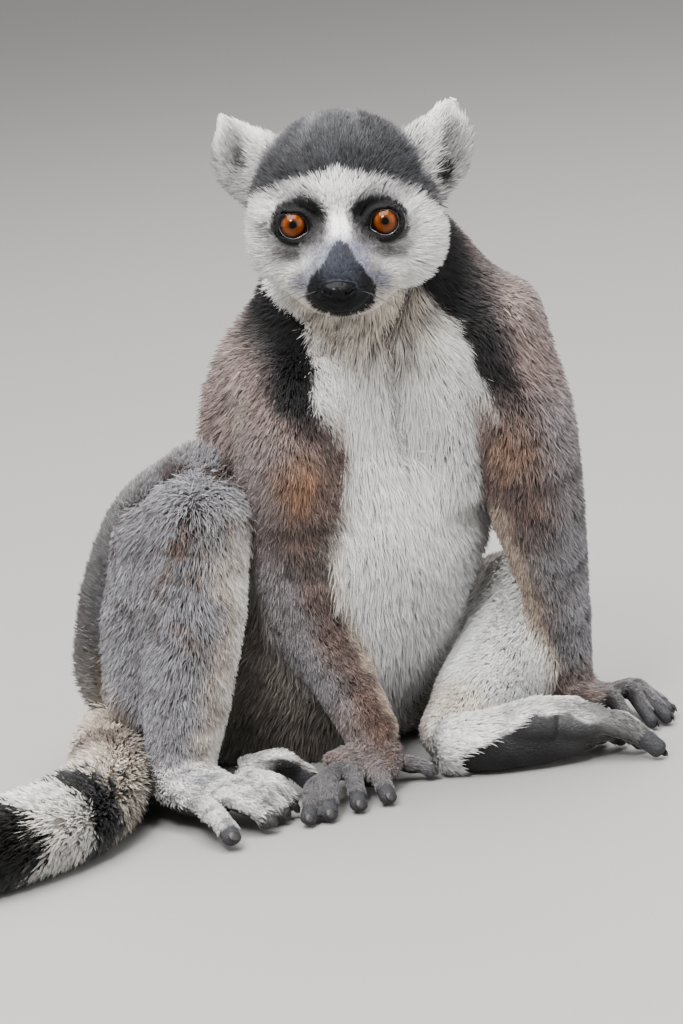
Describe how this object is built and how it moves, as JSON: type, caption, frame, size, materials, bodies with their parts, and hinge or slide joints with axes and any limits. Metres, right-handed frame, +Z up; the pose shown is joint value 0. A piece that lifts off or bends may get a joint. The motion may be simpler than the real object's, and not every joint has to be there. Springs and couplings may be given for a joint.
{
  "type": "ring-tailed lemur",
  "caption": "Life-size still model of a ring-tailed lemur sitting upright on the floor, leaning on both hands, with its ringed tail laid round beside it.",
  "frame": {"origin": "middle of the bounding box on the floor", "axes": "+Z up; -Y the way the face looks; +X towards the animal's left side, along the longest side of the box"},
  "size_m": [0.4228, 0.2622, 0.3021],
  "materials": {
    "head_coat": "short plush fur, white with a dark grey cap and black eye patches",
    "body_coat": "dense woolly fur, white in front and grey-brown behind",
    "limb_coat": "dense woolly fur, grey with rusty and brown flecks",
    "tail_coat": "long soft fur in black and white rings",
    "digit_skin": "dry dark grey skin, ridged on the pads",
    "nose_skin": "moist black skin",
    "eye": "clear and wet, vivid orange with a black pupil"
  },
  "bodies": {
    "root": {"eye_right": "eye", "eye_left": "eye", "nose": "nose_skin", "head": "head_coat", "ear_right": "head_coat", "ear_left": "head_coat", "finger_right_1": "digit_skin", "finger_right_2": "digit_skin", "finger_right_3": "digit_skin", "finger_right_4": "digit_skin", "finger_right_5": "digit_skin", "finger_left_1": "digit_skin", "finger_left_2": "digit_skin", "finger_left_3": "digit_skin", "finger_left_4": "digit_skin", "finger_left_5": "digit_skin", "hand_right": "limb_coat", "hand_left": "limb_coat", "upper_arm_right": "limb_coat", "upper_arm_left": "limb_coat", "forearm_right": "limb_coat", "forearm_left": "limb_coat", "toe_right_1": "digit_skin", "toe_right_2": "digit_skin", "toe_right_3": "digit_skin", "toe_right_4": "digit_skin", "toe_right_5": "digit_skin", "toe_left_1": "digit_skin", "toe_left_2": "digit_skin", "toe_left_3": "digit_skin", "toe_left_4": "digit_skin", "toe_left_5": "digit_skin", "foot_right": "limb_coat", "foot_left": "limb_coat", "shank_right": "limb_coat", "shank_left": "limb_coat", "thigh_right": "limb_coat", "thigh_left": "limb_coat", "neck": "body_coat", "chest": "body_coat", "abdomen": "body_coat", "tail_1": "tail_coat", "tail_2": "tail_coat", "tail_3": "tail_coat", "tail_4": "tail_coat", "tail_5": "tail_coat"}
  },
  "joints": []
}
